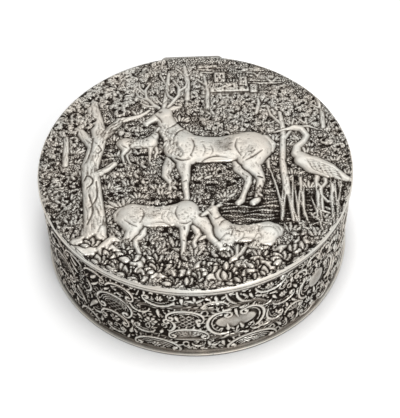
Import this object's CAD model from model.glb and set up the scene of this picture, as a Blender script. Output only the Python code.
import math

import bpy
import numpy as np
from mathutils import Matrix, Vector


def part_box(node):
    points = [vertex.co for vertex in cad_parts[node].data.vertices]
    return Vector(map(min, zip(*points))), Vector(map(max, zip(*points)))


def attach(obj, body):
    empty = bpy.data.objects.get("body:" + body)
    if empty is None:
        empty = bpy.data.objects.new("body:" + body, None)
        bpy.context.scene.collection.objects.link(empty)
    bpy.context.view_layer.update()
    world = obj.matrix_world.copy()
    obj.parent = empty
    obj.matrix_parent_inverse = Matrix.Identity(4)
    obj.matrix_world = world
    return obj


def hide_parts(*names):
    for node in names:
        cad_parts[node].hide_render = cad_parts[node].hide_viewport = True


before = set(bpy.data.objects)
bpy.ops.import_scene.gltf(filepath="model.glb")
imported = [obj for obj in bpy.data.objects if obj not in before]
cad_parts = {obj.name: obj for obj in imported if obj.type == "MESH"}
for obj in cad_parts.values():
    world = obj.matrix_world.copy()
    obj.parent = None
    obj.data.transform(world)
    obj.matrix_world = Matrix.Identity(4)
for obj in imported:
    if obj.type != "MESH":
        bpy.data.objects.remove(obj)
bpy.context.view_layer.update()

MM = 0.001


# Camera, light and floor
# The box is seen from the front and a little over fifty degrees up, as in the photo, on a
# white table in soft light.
camera_rise = math.radians(50.11)
camera_roll = math.radians(1.862)
camera_lens = 99.04                  # in mm, in front of film that is 36 mm wide
camera_away = 0.5963                 # from the camera to the point that it looks at
camera_target = (0.00168, 0.01498, 0.0)
camera_forward = (0.0, math.cos(camera_rise), -math.sin(camera_rise))
camera_across = (math.cos(camera_roll), -math.sin(camera_rise) * math.sin(camera_roll),
                 -math.cos(camera_rise) * math.sin(camera_roll))
camera_up = (math.sin(camera_roll), math.sin(camera_rise) * math.cos(camera_roll),
             math.cos(camera_rise) * math.cos(camera_roll))


def add_object(name, data):
    """Puts an object with this data in the scene."""
    thing = bpy.data.objects.new(name, data)
    bpy.context.scene.collection.objects.link(thing)
    return thing


camera_data = bpy.data.cameras.new("camera")
camera_data.sensor_width = 36
camera_data.lens = camera_lens
camera = add_object("camera", camera_data)
camera_place = [t - camera_away * a for t, a in zip(camera_target, camera_forward)]
camera.matrix_world = Matrix((
    (*camera_across, 0), (*camera_up, 0), (*(-a for a in camera_forward), 0), (*camera_place, 1),
)).transposed()
bpy.context.scene.camera = camera
bpy.context.scene.view_settings.view_transform = "Standard"


def stage_light(name, place, towards, across, watts):
    """A round soft light of the studio."""
    light = bpy.data.lights.new(name, "AREA")
    light.shape, light.size, light.energy = "DISK", across, watts
    lamp = add_object(name, light)
    lamp.location = place
    lamp.rotation_euler = (Vector(towards) - Vector(place)).to_track_quat("-Z", "Y").to_euler()


stage_light("key", place=(0.10, 0.32, 0.72), towards=(0, 0, 0.03), across=0.45, watts=0.8)
stage_light("fill", place=(0.24, -0.75, 0.58), towards=(0, 0, 0.02), across=0.45, watts=4.2)


def plug(tree, node, sockets):
    """Gives inputs of a node their values, or links them to other nodes' outputs."""
    for socket, value in sockets.items():
        if isinstance(value, bpy.types.NodeSocket):
            tree.links.new(value, node.inputs[socket])
        else:
            node.inputs[socket].default_value = value


def add_node(tree, kind, *values, sockets=None, **settings):
    """A new shader node, with values for its first inputs in order and for others by name."""
    node = tree.nodes.new("ShaderNode" + kind)
    for name, setting in settings.items():
        setattr(node, name, setting)
    plug(tree, node, {**dict(enumerate(values)), **(sockets or {})})
    return node


def work_out(tree, operation, *values):
    """The result of a sum on values or on other nodes' outputs."""
    return add_node(tree, "Math", *values, operation=operation).outputs[0]


def add_ramp(tree, level, *stops):
    """The colours of the stops, each a place and a colour, by a level."""
    ramp = add_node(tree, "ValToRGB", level)
    for element, (place, colour) in zip(ramp.color_ramp.elements, (stops[0], stops[-1])):
        element.position, element.color = place, (*colour, 1)
    for place, colour in stops[1:-1]:
        ramp.color_ramp.elements.new(place).color = (*colour, 1)
    return ramp.outputs[0]


studio = bpy.data.worlds.new("studio")
studio.use_nodes = True
bpy.context.scene.world = studio
looking = add_node(studio.node_tree, "TexCoord").outputs["Generated"]
towards_light = add_node(studio.node_tree, "VectorMath", looking, (0.32, 0.2, 0.92), operation="DOT_PRODUCT")
sky = add_ramp(studio.node_tree, towards_light.outputs["Value"], (0.0, (0.42, 0.42, 0.42)), (0.9, (1, 1, 1)))
plug(studio.node_tree, studio.node_tree.nodes["Background"], {"Color": sky, "Strength": 1.0})

floor_reach = 12                     # so far that its edge never shows
floor_corners = [(-1, -1), (1, -1), (1, 1), (-1, 1)]
floor_mesh = bpy.data.meshes.new("floor")
floor_mesh.from_pydata([(x * floor_reach, y * floor_reach, 0) for x, y in floor_corners], [], [(0, 1, 2, 3)])
table = bpy.data.materials.new("white_table")
table.use_nodes = True
tree = table.node_tree
seen = add_node(tree, "LightPath")
direct = work_out(tree, "ADD", seen.outputs["Is Camera Ray"], seen.outputs["Is Glossy Ray"])
shown = work_out(tree, "ADD", direct, seen.outputs["Is Transmission Ray"])
lit = work_out(tree, "MULTIPLY_ADD", shown, 0.26, 0.9)       # it comes out white past the box's shadow
corner = add_node(tree, "AmbientOcclusion", sockets={"Distance": 0.014})
dim = work_out(tree, "POWER", corner.outputs["AO"], 0.7)     # and darker close to the foot
paper = add_node(tree, "BsdfDiffuse", work_out(tree, "MULTIPLY", lit, dim))
plug(tree, tree.nodes["Material Output"], {"Surface": paper.outputs[0]})
floor_mesh.materials.append(table)
add_object("floor", floor_mesh)


# Side strip
# A strip of silver sheet, die-rolled with rococo scrollwork above a plain border, bent round
# and soldered end to end. The ground is left dark with oxide, the raised work is rubbed bright,
# and the inside is gilt.
strip_low, strip_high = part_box("wall_strip")
strip_inside = 72.8              # radii in mm
strip_ground = 73.3
strip_border = 73.6              # of the plain border at the foot
strip_relief = 1.25              # how far the ornament stands out of the ground, times its level
strip_bottom = strip_low[2] / MM
strip_top = strip_high[2] / MM
strip_repeat = math.pi * 73.7    # the die goes round the box twice


class Embossing:
    """A flat map of a piece of sheet, in millimetres, on which ornament is raised."""

    def __init__(self, left, bottom, width, height, step=0.15, repeats=False):
        self.left, self.bottom, self.repeats = left, bottom, repeats
        self.columns = int(round(width / step))
        self.rows = int(round(height / step)) + 1
        self.step = width / self.columns
        self.level = np.zeros((self.rows, self.columns), dtype=np.float32)
        self.matted = np.ones_like(self.level)

    def spots(self):
        """The x of each column and the y of each row."""
        return (self.left + np.arange(self.columns)[None, :] * self.step,
                self.bottom + np.arange(self.rows)[:, None] * self.step)

    def patch(self, left, bottom, right, top):
        """The cells of a rectangle, as an index for level, with their x and y."""
        first, last = ((edge - self.left) / self.step for edge in (left, right))
        low, high = ((edge - self.bottom) / self.step for edge in (bottom, top))
        along = np.arange(math.floor(first), math.ceil(last) + 1)
        up = np.arange(max(math.floor(low), 0), min(math.ceil(high) + 1, self.rows))
        if not self.repeats:
            along = along[(along >= 0) & (along < self.columns)]
        cells = np.ix_(up, along % self.columns)
        return cells, self.left + along[None, :] * self.step, self.bottom + up[:, None] * self.step

    def raise_limb(self, points, tall, base=0.0, blend=None, grow=False):
        """A half-round form that tapers along its points of x, y and half width. With blend it
        flows into what is there, and with grow it is taller where it is wider."""
        across, up, halves = zip(*points)
        reach = max(halves)
        cells, x, y = self.patch(min(across) - reach, min(up) - reach, max(across) + reach,
                                 max(up) + reach)
        form = np.zeros(np.broadcast_shapes(x.shape, y.shape), dtype=np.float32)
        for (x0, y0, r0), (x1, y1, r1) in zip(points[:-1], points[1:]):
            length = (x1 - x0) ** 2 + (y1 - y0) ** 2 + 1e-9
            along = np.clip(((x - x0) * (x1 - x0) + (y - y0) * (y1 - y0)) / length, 0, 1)
            half = r0 + along * (r1 - r0)
            out = np.hypot(x - x0 - along * (x1 - x0), y - y0 - along * (y1 - y0)) / half
            dome = tall * np.sqrt(np.clip(1 - out ** (2.6 if grow else 2), 0, 1))
            if grow:
                dome = dome * np.sqrt(half)
            form = np.maximum(form, np.where(out < 1, dome + base, 0))
        if blend:
            self.level[cells] = (self.level[cells] ** blend + form ** blend) ** (1 / blend)
        else:
            self.matted[cells] = np.where(form > self.level[cells], 0.4, self.matted[cells])
            self.level[cells] = np.maximum(self.level[cells], form)

    def look_up(self, values, x, y):
        """The values at any x and y, between the cells."""
        across = (x - self.left) / self.step
        up = np.clip((y - self.bottom) / self.step, 0, self.rows - 1.001)
        column, row = np.floor(across).astype(int), np.floor(up).astype(int)
        a, b = across - column, up - row
        if self.repeats:
            column, after = column % self.columns, (column + 1) % self.columns
        else:
            column = np.clip(column, 0, self.columns - 1)
            after = np.clip(column + 1, 0, self.columns - 1)
        lower = values[row, column] * (1 - a) + values[row, after] * a
        upper = values[row + 1, column] * (1 - a) + values[row + 1, after] * a
        return lower * (1 - b) + upper * b


def soften(values, cells, repeats=False):
    """Values averaged over a window of this many cells each way, three times over."""
    for _ in range(3):
        for axis in (0, 1):
            wrap = "wrap" if repeats and axis == 1 else "edge"
            width = [(cells + 1, cells) if axis == at else (0, 0) for at in (0, 1)]
            total = np.cumsum(np.pad(values, width, mode=wrap), axis=axis, dtype=np.float64)
            ends = (slice(2 * cells + 1, None), slice(None, -2 * cells - 1))
            late, early = (total[end] if axis == 0 else total[:, end] for end in ends)
            values = ((late - early) / (2 * cells + 1)).astype(np.float32)
    return values


def beyond(x, y, reach, turn):
    """The place that is this far from x, y in the direction of turn, in radians."""
    return x + reach * math.cos(turn), y + reach * math.sin(turn)


def arc_points(x, y, across, up, start, end, half, steps=18):
    """An arc of an ellipse that swells to its half width and thins out at both ends."""
    turn = np.radians(np.linspace(start, end, steps))
    swell = half * (0.45 + 0.55 * np.sin(np.linspace(0.12, 0.95, steps) * math.pi))
    return list(zip(x + across * np.cos(turn), y + up * np.sin(turn), swell))


curl_points = (
    # radians turned, share of the curl's radius, share of the half width
    (0, 1, 0.6), (0.7, 0.98, 0.62), (1.4, 0.94, 0.66), (2.1, 0.88, 0.72), (2.8, 0.8, 0.78),
    (3.6, 0.68, 0.82), (4.4, 0.5, 0.86), (5.2, 0.3, 0.9),
)


def raise_scroll(sheet, x, y, across, up, start, end, half, tall=0.62, lines=1, curls=""):
    """A C-scroll: a main line, thin lines inside it, a leafy edge, and curled ends."""
    line = arc_points(x, y, across, up, start, end, half)
    keep = half
    for _ in range(lines):
        keep += max(across, up) * 0.09 + 0.3
        if min(across, up) > keep + 0.8:
            thin = arc_points(x, y, across - keep, up - keep, start, end, half * 0.4)
            sheet.raise_limb(thin[2:-2], tall * 0.6)
    leaves = max(int(math.radians(abs(end - start)) * (across + up) / 2 / 2.3), 3)
    for k in range(1, leaves):
        turn = math.radians(start + (end - start) * k / leaves)
        lean = math.degrees(turn) + (28 if end > start else -28)
        raise_drop(sheet, x + across * math.cos(turn), y + up * math.sin(turn), half * 2.6,
                   half * 0.9, lean, tall * 0.66, 0.16)
    sheet.raise_limb(line, tall)
    for name, near, last in (("a", line[1], line[0]), ("b", line[-2], line[-1])):
        if name in curls:
            along = math.atan2(last[1] - near[1], last[0] - near[0])
            inward = 1 if math.sin(math.atan2(y - last[1], x - last[0]) - along) > 0 else -1
            curl = half * 2.0
            middle = beyond(last[0], last[1], curl, along + inward * math.pi / 2)
            way = along - inward * math.pi / 2
            sheet.raise_limb([(*beyond(*middle, curl * r, way + inward * a), half * w)
                              for a, r, w in curl_points], tall)


def raise_drop(sheet, x, y, long, half, turn, tall=0.6, bend=0.25):
    """A leaf like a comma, fat at x, y and thinning out in the direction of turn."""
    angle = math.radians(turn)
    cos, sin = math.cos(angle), math.sin(angle)
    shape = ((0, 0, 0.75), (0.22, bend * 0.1, 1), (0.5, bend * 0.3, 0.8), (0.78, bend * 0.65, 0.45),
             (1, bend, 0.15))
    sheet.raise_limb([(x + long * (a * cos - b * sin), y + long * (a * sin + b * cos), half * c)
                      for a, b, c in shape], tall)


def raise_rosette(sheet, x, y, size, petals=6, tall=0.55):
    """A flower of round petals with a bead in its middle."""
    for k in range(petals):
        angle = 2 * math.pi * k / petals
        sheet.raise_limb([(*beyond(x, y, size * 0.62, angle), size * 0.36),
                          (*beyond(x, y, size * 0.25, angle), size * 0.18)], tall)
    sheet.raise_limb([(x, y, size * 0.24), (x, y + 0.01, size * 0.24)], tall * 1.3)


def raise_ring(sheet, x, y, across, up, half, tall=0.5):
    """A small pierced drop, as an open ring."""
    turn = np.linspace(0, 2 * math.pi, 17)
    sheet.raise_limb([(x + across * math.cos(a), y + up * math.sin(a), half) for a in turn], tall)


def winding(points, steps=6):
    """Points on a smooth curve through the given ones."""
    p = np.array([points[0], *points, points[-1]], dtype=float)
    t = (np.arange(steps) / steps)[:, None]
    curve = [0.5 * (2 * b + (c - a) * t + (2 * a - 5 * b + 4 * c - d) * t ** 2
                    + (3 * b - 3 * c + d - a) * t ** 3)
             for a, b, c, d in zip(p, p[1:], p[2:], p[3:])]
    return [tuple(point) for point in np.concatenate([*curve, p[-1:]])]


def raise_palmette(sheet, x, y, size, leaves=5, spread=140, facing=90):
    """A fan of straight leaves."""
    for k in range(leaves):
        turn = facing + spread * (k / (leaves - 1) - 0.5)
        raise_drop(sheet, *beyond(x, y, size * 0.2, math.radians(turn)), size, size * 0.2, turn, 0.5, 0)


strip = Embossing(-strip_repeat / 2, strip_bottom, strip_repeat, strip_top - strip_bottom,
                  repeats=True)


def raise_boss(sheet, x, y, across, up, tall):
    """A smooth oval field with a rounded edge."""
    cells, px, py = sheet.patch(x - across, y - up, x + across, y + up)
    out = np.clip(((px - x) / across) ** 2 + ((py - y) / up) ** 2, 0, 1)
    sheet.level[cells] = np.maximum(sheet.level[cells], tall * (1 - out ** 3) ** 0.5)
    sheet.matted[cells] = np.where(out < 1, 0, sheet.matted[cells])


def raise_lattice(sheet, x, y, across, up, pitch=3.0, half=0.34, tall=0.32):
    """Crossed bars inside an oval."""
    for side in (-1, 1):
        for k in range(-6, 7):
            foot = x + k * pitch
            along = np.linspace(-8, 8, 65)
            px, py = foot + side * along, y + along * 0.9
            inside = ((px - x) / across) ** 2 + ((py - y) / up) ** 2 < 1
            if inside.sum() > 2:
                bar = [(a, b, half) for a, b in zip(px[inside], py[inside])]
                sheet.raise_limb([bar[0], bar[-1]], tall)


scrolls = (
    # x, y, radius along, radius up, from, to, half width, which ends curl in
    (-51.0, 40.6, 6.2, 4.6, 165, 20, 0.75, "b"), (-37.7, 37.7, 7.3, 6.6, 160, -8, 0.95, "b"),
    (-18.4, 44.6, 8.1, 7.2, 208, 332, 0.8, "a"), (6.9, 36.4, 6.2, 5.2, 160, 6, 0.7, ""),
    (33.4, 45.2, 7.7, 5.4, 185, 345, 0.75, "b"), (48.8, 37.2, 4.6, 3.8, 110, -30, 0.7, "a"),
    (-58.5, 30.4, 4.6, 5.2, 60, -75, 0.8, ""), (-41.1, 26.4, 9.4, 8.4, 205, -32, 0.95, "ab"),
    (-27.4, 34.6, 4.7, 4.6, 190, 350, 0.7, ""), (-16.3, 23.0, 4.7, 4.9, 62, -62, 0.85, "a"),
    (-25.7, 18.8, 5.2, 4.1, 195, 335, 0.7, "a"), (-6.8, 28.6, 8.6, 6.4, 176, -14, 0.85, "ab"),
    (-5.3, 14.9, 9.2, 5.9, 172, 6, 0.85, "ab"), (-41.5, 14.9, 7.6, 6.4, 172, 4, 0.85, "ab"),
    (10.3, 24.4, 7.0, 8.6, 62, 292, 0.95, "a"), (23.1, 24.7, 7.1, 8.4, 118, -66, 0.95, "a"),
    (26.6, 17.2, 3.2, 3.0, 200, 330, 0.6, "b"), (30.6, 17.0, 3.2, 2.6, 210, 350, 0.6, "b"),
    (30.2, 33.8, 4.2, 3.2, 190, 330, 0.6, ""), (36.4, 22.0, 4.9, 6.4, 148, 318, 0.75, "b"),
    (40.5, 29.4, 6.0, 3.8, 190, 352, 0.7, "b"), (54.8, 24.4, 5.4, 7.4, 84, 270, 0.8, "a"),
    (-57.4, 3.4, 6.2, 6.6, 168, 12, 0.8, "b"), (-41.1, 10.4, 5.2, 4.3, 205, 338, 0.65, "ab"),
    (-20.5, 2.4, 11.6, 8.8, 157, 20, 0.95, "ab"), (24.8, 2.4, 12.6, 8.8, 160, 14, 1.0, "ab"),
    (-1.0, 10.2, 3.2, 2.8, 200, 350, 0.5, ""), (6.4, 10.4, 2.6, 2.6, 200, 340, 0.5, ""),
    (47.0, 14.6, 5.4, 4.6, 170, 20, 0.65, "b"), (55.5, 8.0, 5.0, 4.4, 195, 345, 0.65, "ab"),
    (58.0, 40.6, 4.6, 4.6, 150, -10, 0.7, "a"), (-52.5, 20.0, 5.6, 6.6, 250, 330, 0.8, ""),
)
drops = (
    # x, y, length, half width, direction of the thin end
    (-52.8, 39.0, 5.0, 1.1, 40), (-24.9, 44.2, 2.6, 0.6, 80), (-28.5, 42.0, 3.0, 0.5, 60),
    (-7.9, 43.8, 3.4, 0.95, -100), (-2.6, 42.0, 3.4, 0.8, 150), (-2.1, 43.2, 2.2, 0.8, 90),
    (-1.2, 42.2, 3.4, 0.8, 20), (-19.1, 33.4, 4.5, 0.85, -95), (-28.7, 27.4, 2.4, 0.6, -60),
    (-51.7, 21.2, 8.5, 1.4, 225), (-31.9, 19.8, 3.6, 1.1, -95), (-30.4, 11.2, 2.6, 0.7, 100),
    (-18.2, 16.3, 2.4, 0.9, 60), (-33.4, 10.4, 4.0, 1.2, 60), (-0.6, 23.4, 2.2, 1.0, 90),
    (-10.9, 29.6, 3.2, 1.0, -80), (-53.0, 33.8, 5.5, 0.9, 35), (-45.4, 36.2, 3.4, 0.8, 30),
    (-38.5, 38.0, 3.6, 0.7, -30), (-41.0, 41.0, 2.6, 0.6, 20), (-47.8, 31.6, 3.6, 0.7, 60),
    (7.3, 44.6, 2.8, 0.9, -90), (4.6, 43.6, 2.4, 0.7, 150), (10.0, 43.4, 2.4, 0.7, 30),
    (23.1, 42.2, 3.2, 0.8, -80), (19.9, 43.4, 2.6, 0.6, -60), (26.0, 39.6, 2.6, 0.7, -30),
    (12.9, 18.8, 3.6, 1.1, 82), (19.7, 18.4, 3.6, 1.1, 98), (12.8, 14.3, 2.0, 0.8, 200),
    (20.7, 13.9, 2.0, 0.8, -30), (17.0, 18.2, 2.6, 0.6, 60), (15.6, 18.2, 2.6, 0.6, 120),
    (16.3, 33.0, 5.6, 0.85, -90), (14.1, 33.8, 2.6, 0.7, 160), (18.4, 34.0, 2.6, 0.7, 20),
    (10.7, 34.2, 3.0, 0.9, -20), (21.4, 34.6, 2.6, 0.9, 200), (34.7, 34.0, 3.0, 0.9, -70),
    (47.5, 31.4, 3.2, 0.9, 110), (48.4, 27.6, 3.0, 0.8, -100), (45.8, 22.9, 3.4, 0.8, -60),
    (42.8, 20.3, 2.6, 0.8, 90), (36.8, 20.0, 2.4, 0.7, 90), (39.4, 8.0, 3.6, 0.9, 110),
    (42.8, 8.4, 3.0, 0.7, 95), (10.3, 9.6, 3.0, 1.0, -90), (4.2, 7.8, 3.4, 0.9, 88),
    (-11.2, 40.4, 2.8, 0.7, 200), (36.0, 36.6, 3.2, 0.7, 160), (44.6, 40.4, 2.8, 0.8, 250),
    (54.0, 35.4, 3.0, 0.8, 130), (60.6, 36.2, 2.8, 0.9, -90), (51.2, 17.2, 2.8, 0.8, 140),
    (60.4, 15.4, 3.4, 0.8, 80), (49.0, 6.0, 3.0, 0.8, 60), (-49.6, 8.0, 3.2, 0.8, 75),
    (-35.2, 4.6, 2.6, 0.7, 60), (-47.2, 12.0, 3.2, 0.8, 120), (-27.6, 30.4, 3.0, 0.7, -30),
)
rosettes = (
    (-18.0, 42.6, 1.9), (-22.7, 24.0, 3.3), (-41.5, 16.4, 2.9), (-20.9, 5.8, 2.3),
    (32.5, 43.2, 2.3), (39.8, 31.9, 2.0), (2.0, 37.6, 1.8), (26.0, 6.0, 2.0),
    (-50.6, 26.6, 2.2), (45.4, 11.0, 2.2), (56.2, 12.6, 1.9), (53.2, 31.6, 1.7), (-33.6, 33.4, 1.7),
)
rings = ((-6.8, 8.6, 1.3, 1.9), (2.1, 33.0, 1.5, 2.1), (-24.4, 19.4, 1.0, 1.5),
         (34.8, 9.4, 1.1, 1.6), (-35.6, 29.0, 1.0, 1.4), (43.4, 35.4, 1.0, 1.4))
palmettes = ((-4.6, 14.8, 4.0, 90), (-29.6, 6.2, 2.6, 40), (52.2, 42.8, 3.2, 90),
             (33.0, 22.0, 3.0, 180), (-58.6, 4.2, 3.4, 90), (47.2, 14.2, 3.0, 90))
bosses = ((16.7, 24.5, 9.6, 4.9, 0.36), (61.9, 24.4, 5.4, 5.6, 0.36))
lattices = ((-41.1, 25.2, 6.6, 5.2), (-6.4, 26.4, 5.8, 4.4))
ribbons = (
    ((-36.0, 44.4), (-32.4, 38.6), (-28.6, 36.6), (-24.4, 36.0), (-19.3, 36.4), (-12.8, 37.4),
     (-6.4, 37.2), (0.0, 36.2), (6.0, 35.8)),
    ((12.8, 36.4), (17.0, 36.2), (21.4, 36.6), (26.0, 36.2), (30.0, 32.6), (33.0, 29.4),
     (36.4, 27.6)),
    ((-33.0, 14.2), (-30.0, 13.2), (-25.7, 12.6), (-21.4, 12.9), (-17.1, 12.5), (-10.7, 13.3),
     (-4.3, 13.3), (1.0, 13.3), (4.3, 14.0), (10.0, 13.3), (17.1, 12.8), (25.7, 13.2),
     (34.2, 13.2), (40.0, 12.0)),
)
horns = (((12.0, 45.6, 0.5), (12.6, 42.4, 0.8), (14.4, 39.4, 0.8), (16.6, 37.4, 0.4)),
         ((16.7, 45.6, 0.5), (17.4, 41.8, 0.8), (19.6, 38.6, 0.8), (23.4, 37.2, 0.4)))


def raise_die(sheet, middle=None, left=-math.inf, right=math.inf):
    """The whole pattern, or its mirror image about a middle, between left and right."""
    def at(x):
        return x if middle is None else 2 * middle - x

    def turned(angle):
        return angle if middle is None else 180 - angle

    def wanted(x):
        return left <= x <= right

    for points in ribbons:
        path = [(at(x), y, 1.0) for x, y in points if wanted(x)]
        if len(path) > 1:
            sheet.raise_limb(winding(path), 0.34)
            for side in (-1, 1):
                sheet.raise_limb(winding([(x, y + side * 1.25, 0.25) for x, y, _ in path]), 0.42)
    for x, y, across, up, tall in bosses:
        if wanted(x):
            raise_boss(sheet, at(x), y, across, up, tall)
    for x, y, across, up in lattices:
        if wanted(x):
            raise_lattice(sheet, at(x), y, across, up)
    for x, y, size, facing in palmettes:
        if wanted(x):
            raise_palmette(sheet, at(x), y, size, facing=turned(facing))
    for x, y, across, up, start, end, half, curls in scrolls:
        if wanted(x):
            raise_scroll(sheet, at(x), y, across, up, turned(start), turned(end), half * 1.05, 0.85,
                         lines=1 if across < 9 else 3, curls=curls)
    for x, y, long, half, turn in drops:
        if wanted(x):
            raise_drop(sheet, at(x), y, long * 1.15, half * 1.1, turned(turn), 0.8,
                       0.25 if middle is None else -0.25)
    for x, y, size in rosettes:
        if wanted(x):
            raise_rosette(sheet, at(x), y, size, tall=0.75)
    for x, y, across, up in rings:
        if wanted(x):
            raise_ring(sheet, at(x), y, across, up, 0.42)
    for points in horns:
        if wanted(points[0][0]):
            sheet.raise_limb(winding([(at(x), y, half) for x, y, half in points]), 0.55)


def is_bare(sheet, x, y, reach):
    """Whether hardly anything is raised within a square round x, y."""
    cells, _, _ = sheet.patch(x - reach, y - reach, x + reach, y + reach)
    return (sheet.level[cells] > 0.05).mean() < 0.03


def fill_gaps(sheet, low, high, seed):
    """Small curls, leaves and beads in the ground that is still bare, as a die cutter fills it."""
    draw = np.random.default_rng(seed)
    for kind in ("curl", "leaf", "bead"):
        for _ in range(2500):
            x = draw.uniform(sheet.left, sheet.left + sheet.columns * sheet.step)
            turn, size = draw.uniform(0, 360), draw.uniform(0.9, 1.4)
            y = draw.uniform(low, high)
            if kind == "curl" and is_bare(sheet, x, y, 1.7 * size):
                if low + 2 < y < high - 2:
                    raise_scroll(sheet, x, y, 1.6 * size, 1.5 * size, turn, turn + 200, 0.42 * size, 0.5,
                                 lines=0, curls="b")
            elif kind == "leaf" and is_bare(sheet, x, y, 0.9 * size):
                stem = beyond(x, y, -size, math.radians(turn))
                for side, long in ((0, 2.6), (45, 1.7), (-45, 1.7)):
                    raise_drop(sheet, *stem, long * size, 0.55 * size, turn + side, 0.46, 0.2)
            elif kind == "bead" and is_bare(sheet, x, y, 0.5 * size):
                raise_drop(sheet, x, y, 0.9 * size, 0.5 * size, turn, 0.36, 0.2)


strip_field_low, strip_field_high = 3.0, strip_top - 0.15     # the ornament's lower and upper edge
strip_turn = (-58.0, 61.9)       # the pattern is mirrored past these two places
raise_die(strip, left=strip_turn[0] - 2, right=strip_turn[1] + 1)
raise_die(strip, middle=strip_turn[0], left=strip_turn[0] + 2, right=-2.5)
raise_die(strip, middle=strip_turn[1], left=8.5, right=strip_turn[1] - 2)
fill_gaps(strip, strip_field_low + 0.8, strip_field_high - 0.6, seed=11)


def patina(level, step, plain, deep, high, repeats=False):
    """0 in the grooves, where oxide stays, to 1 on what stands proud and is rubbed bright."""
    wide, near = (soften(level, max(int(reach / step), 1), repeats) for reach in (1.1, 0.3))
    return np.clip(plain + (level - wide) / high + (level - near) / deep, 0, 1)


def store(mesh, name, values):
    """Keeps a value for each point of a mesh, for its material to read."""
    kept = mesh.attributes.new(name, "FLOAT", "POINT")
    kept.data.foreach_set("value", np.asarray(values, dtype=np.float32))


def smooth(mesh, degrees):
    """Shades a mesh smooth, but for edges that turn by more than this."""
    mesh.polygons.foreach_set("use_smooth", np.ones(len(mesh.polygons), dtype=bool))
    mesh.set_sharp_from_angle(angle=math.radians(degrees))


def add_mesh(name, points, quads, triangles, material=None, **attributes):
    """A piece from its points in mm and its faces, at the origin."""
    mesh = bpy.data.meshes.new(name)
    corners = np.concatenate([np.asarray(faces, dtype=np.int32).ravel()
                              for faces in (quads, triangles) if len(faces)])
    sizes = np.concatenate([np.full(len(quads), 4), np.full(len(triangles), 3)]).astype(np.int32)
    starts = np.concatenate([[0], np.cumsum(sizes)[:-1]]).astype(np.int32)
    mesh.vertices.add(len(points))
    mesh.vertices.foreach_set("co", (np.asarray(points) * MM).astype(np.float32).ravel())
    mesh.loops.add(len(corners))
    mesh.loops.foreach_set("vertex_index", corners)
    mesh.polygons.add(len(sizes))
    mesh.polygons.foreach_set("loop_start", starts)
    mesh.update(calc_edges=True)
    mesh.validate()
    for label, values in attributes.items():
        store(mesh, label, values)
    if material:
        mesh.materials.append(material)
    return add_object(name, mesh)


def grid_quads(columns, rows, first=0, turned_over=False):
    """Quads over rows of points that close into a ring."""
    c, r = np.meshgrid(np.arange(columns), np.arange(rows - 1))
    here, after = (first + r * columns + (c + k) % columns for k in (0, 1))
    quads = np.stack([here, after, after + columns, here + columns], -1).reshape(-1, 4)
    return quads[:, ::-1] if turned_over else quads


def stitch(coarse, fine, turned_over=False):
    """Triangles between two rings of points, one with a whole number of times as many."""
    count, ratio = len(coarse), len(fine) // len(coarse)
    faces = []
    for k in range(count):
        after = coarse[(k + 1) % count]
        for j in range(ratio):
            a, b = fine[k * ratio + j], fine[(k * ratio + j + 1) % len(fine)]
            faces.append((a, b, coarse[k] if j < ratio / 2 else after))
        middle = fine[k * ratio + (ratio + 1) // 2]
        faces.append((middle, after, coarse[k]))
    return [face[::-1] for face in faces] if turned_over else faces


def silver_sheet(name, grain, dark=(0.009, 0.006, 0.004), middle=(0.153, 0.132, 0.109),
                 bright=(0.65, 0.625, 0.572), polish=0.45):
    """Silver that is black in its grooves, by the attribute worn, with fine scratches."""
    material = bpy.data.materials.new(name)
    material.use_nodes = True
    tree = material.node_tree
    place = add_node(tree, "TexCoord").outputs["Object"]

    def noise(scale, detail=3.0, output="Fac"):
        sockets = {"Vector": place, "Scale": scale, "Detail": detail}
        return add_node(tree, "TexNoise", sockets=sockets).outputs[output]

    def attribute(label):
        return add_node(tree, "Attribute", attribute_name=label).outputs["Fac"]

    def spread(value, low, high, to_low, to_high):
        """What runs from low to high, stretched to run between two other values."""
        return add_node(tree, "MapRange", sockets={
            "Value": value, "From Min": low, "From Max": high, "To Min": to_low, "To Max": to_high,
        }).outputs[0]

    # Small curled punch marks, about a thousand to the metre, where the attribute matted is 1
    swirl = noise(700, 2.0, "Color")
    bent = add_node(tree, "VectorMath", swirl, (0.0016, 0.0016, 0), place, operation="MULTIPLY_ADD")
    sized = add_node(tree, "VectorMath", bent.outputs[0], (850, 1150, 0), operation="MULTIPLY")
    marks = add_node(tree, "TexVoronoi", voronoi_dimensions="2D", feature="DISTANCE_TO_EDGE",
                     sockets={"Vector": sized.outputs[0], "Scale": 1.0})
    rise = spread(marks.outputs["Distance"], 0, 0.28, -0.5, 0.2)
    punched = work_out(tree, "MULTIPLY", attribute("matted"), rise)

    level = attribute("worn")
    for cloud, share in ((noise(260), 0.22), (noise(grain), 0.34), (punched, 1.0)):
        level = work_out(tree, "MULTIPLY_ADD", cloud, share, level)
    level = work_out(tree, "SUBTRACT", level, 0.28)      # the mean of what the noises add
    tone = add_ramp(tree, level, (0.16, dark), (0.42, middle), (0.74, bright))
    drift = add_ramp(tree, noise(85, 4), (0.38, (1.02, 0.985, 0.96)), (0.62, (0.985, 1.0, 1.01)))
    coloured = add_node(tree, "VectorMath", tone, drift, operation="MULTIPLY")
    scratches = work_out(tree, "MULTIPLY_ADD", punched, 1.2, noise(grain * 1.4, 4.0))
    bump = add_node(tree, "Bump", sockets={"Strength": 0.35, "Distance": 0.0001, "Height": scratches})
    plug(tree, tree.nodes["Principled BSDF"], {
        "Base Color": coloured.outputs[0],
        "Metallic": spread(level, 0.15, 0.7, 0.0, 1.0),
        "Roughness": spread(level, 0.15, 0.7, 0.8, polish),
        "Specular IOR Level": spread(level, 0.15, 0.7, 0.06, 0.5),
        "Normal": bump.outputs[0],
    })
    return material


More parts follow.
